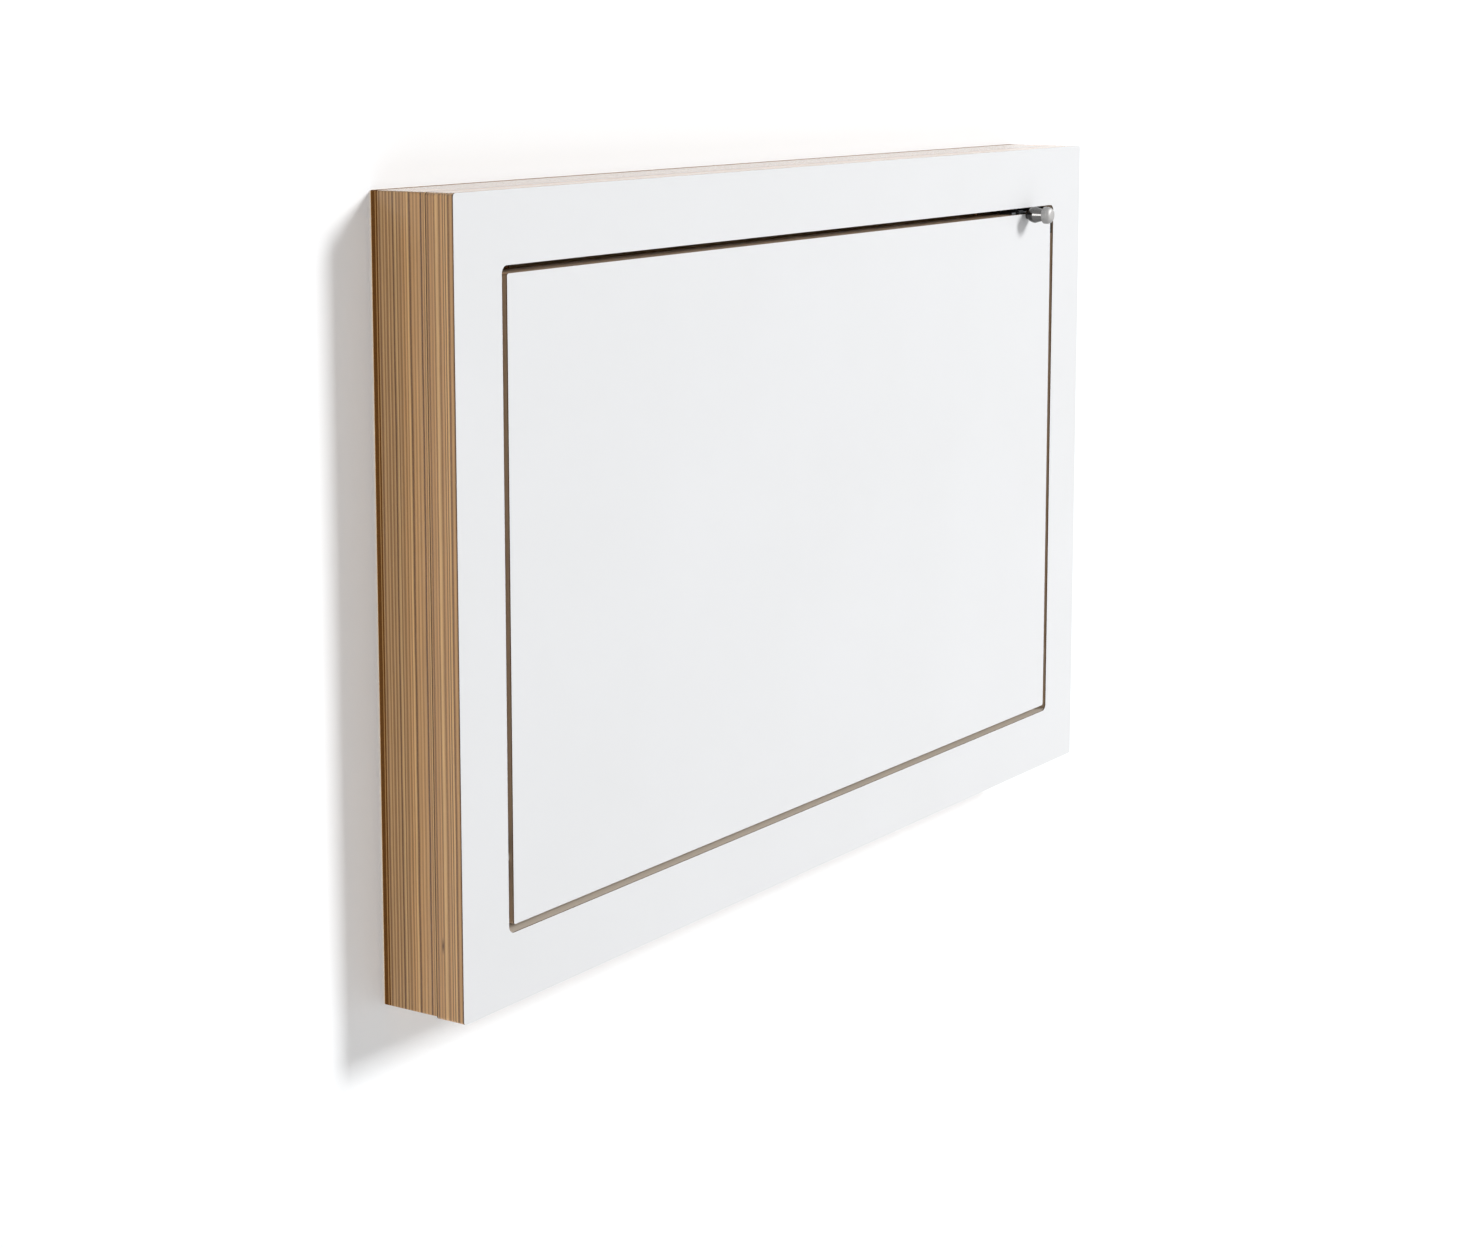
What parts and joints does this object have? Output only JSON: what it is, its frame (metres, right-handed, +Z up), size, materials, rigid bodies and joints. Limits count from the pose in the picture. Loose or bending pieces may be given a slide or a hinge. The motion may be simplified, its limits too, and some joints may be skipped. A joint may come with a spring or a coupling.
{
  "type": "fold down wall desk",
  "caption": "Shallow wall box of stacked plywood with a white laminated front, whose flap pivots down to become a writing surface and is held shut by a slide bolt with a metal knob.",
  "frame": {"origin": "middle of the back panel's wall side, at half the height of the front frame", "axes": "+X to the right seen from the room, +Y into the wall, +Z up"},
  "size_m": [0.8, 0.0837, 0.5],
  "materials": {
    "plywood": "birch plywood, edges clear oiled",
    "white_laminate": "high-pressure laminate, satin white",
    "steel": "zinc plated",
    "screw_steel": "zinc plated",
    "knob_steel": "turned and polished",
    "bush_brass": "plain turned",
    "nylon": "natural",
    "rubber": "matte"
  },
  "bodies": {
    "carcass": {"back_panel": "plywood", "rear_left_stile": "plywood", "rear_right_stile": "plywood", "rear_top_rail": "plywood", "rear_bottom_rail": "plywood", "front_left_stile": "plywood", "front_right_stile": "plywood", "front_top_rail": "plywood", "front_bottom_rail": "plywood", "front_frame": "plywood", "hanging_rail": "plywood", "stop_rail": "plywood", "shelf": "plywood", "document_lip": "plywood", "pocket_lip": "plywood", "bay_divider": "plywood", "left_pocket_divider": "plywood", "middle_pocket_divider": "plywood", "right_pocket_divider": "plywood", "frame_backing_laminate": "white_laminate", "frame_face_laminate": "white_laminate", "case_screws": "screw_steel", "rail_screws": "screw_steel", "pivot_plate_screws": "screw_steel", "strike_screws": "screw_steel", "strike_plate": "steel", "stop_pad": "rubber", "upper_left_bumper": "rubber", "upper_right_bumper": "rubber", "lower_left_bumper": "rubber", "lower_right_bumper": "rubber", "left_pivot_pin": "steel", "right_pivot_pin": "steel", "left_pivot_plate": "steel", "right_pivot_plate": "steel", "left_pivot_washer": "nylon", "right_pivot_washer": "nylon"},
    "flap": {"flap_core": "plywood", "flap_face_laminate": "white_laminate", "flap_desktop_laminate": "white_laminate", "left_pivot_bush": "bush_brass", "right_pivot_bush": "bush_brass", "bolt_guide": "steel", "bolt_guide_screws": "screw_steel"},
    "bolt": {"latch_bolt": "steel", "knob_stem": "knob_steel", "latch_knob": "knob_steel"}
  },
  "joints": [
    {"name": "flap_hinge", "type": "hinge", "parent": "carcass", "child": "flap", "pos_m": [0, -0.054, -0.158], "axis": [1, 0, 0], "range_deg": [0, 90]},
    {"name": "bolt_slide", "type": "slide", "parent": "flap", "child": "bolt", "axis": [1, 0, 0], "range_m": [0, 0.011]}
  ]
}
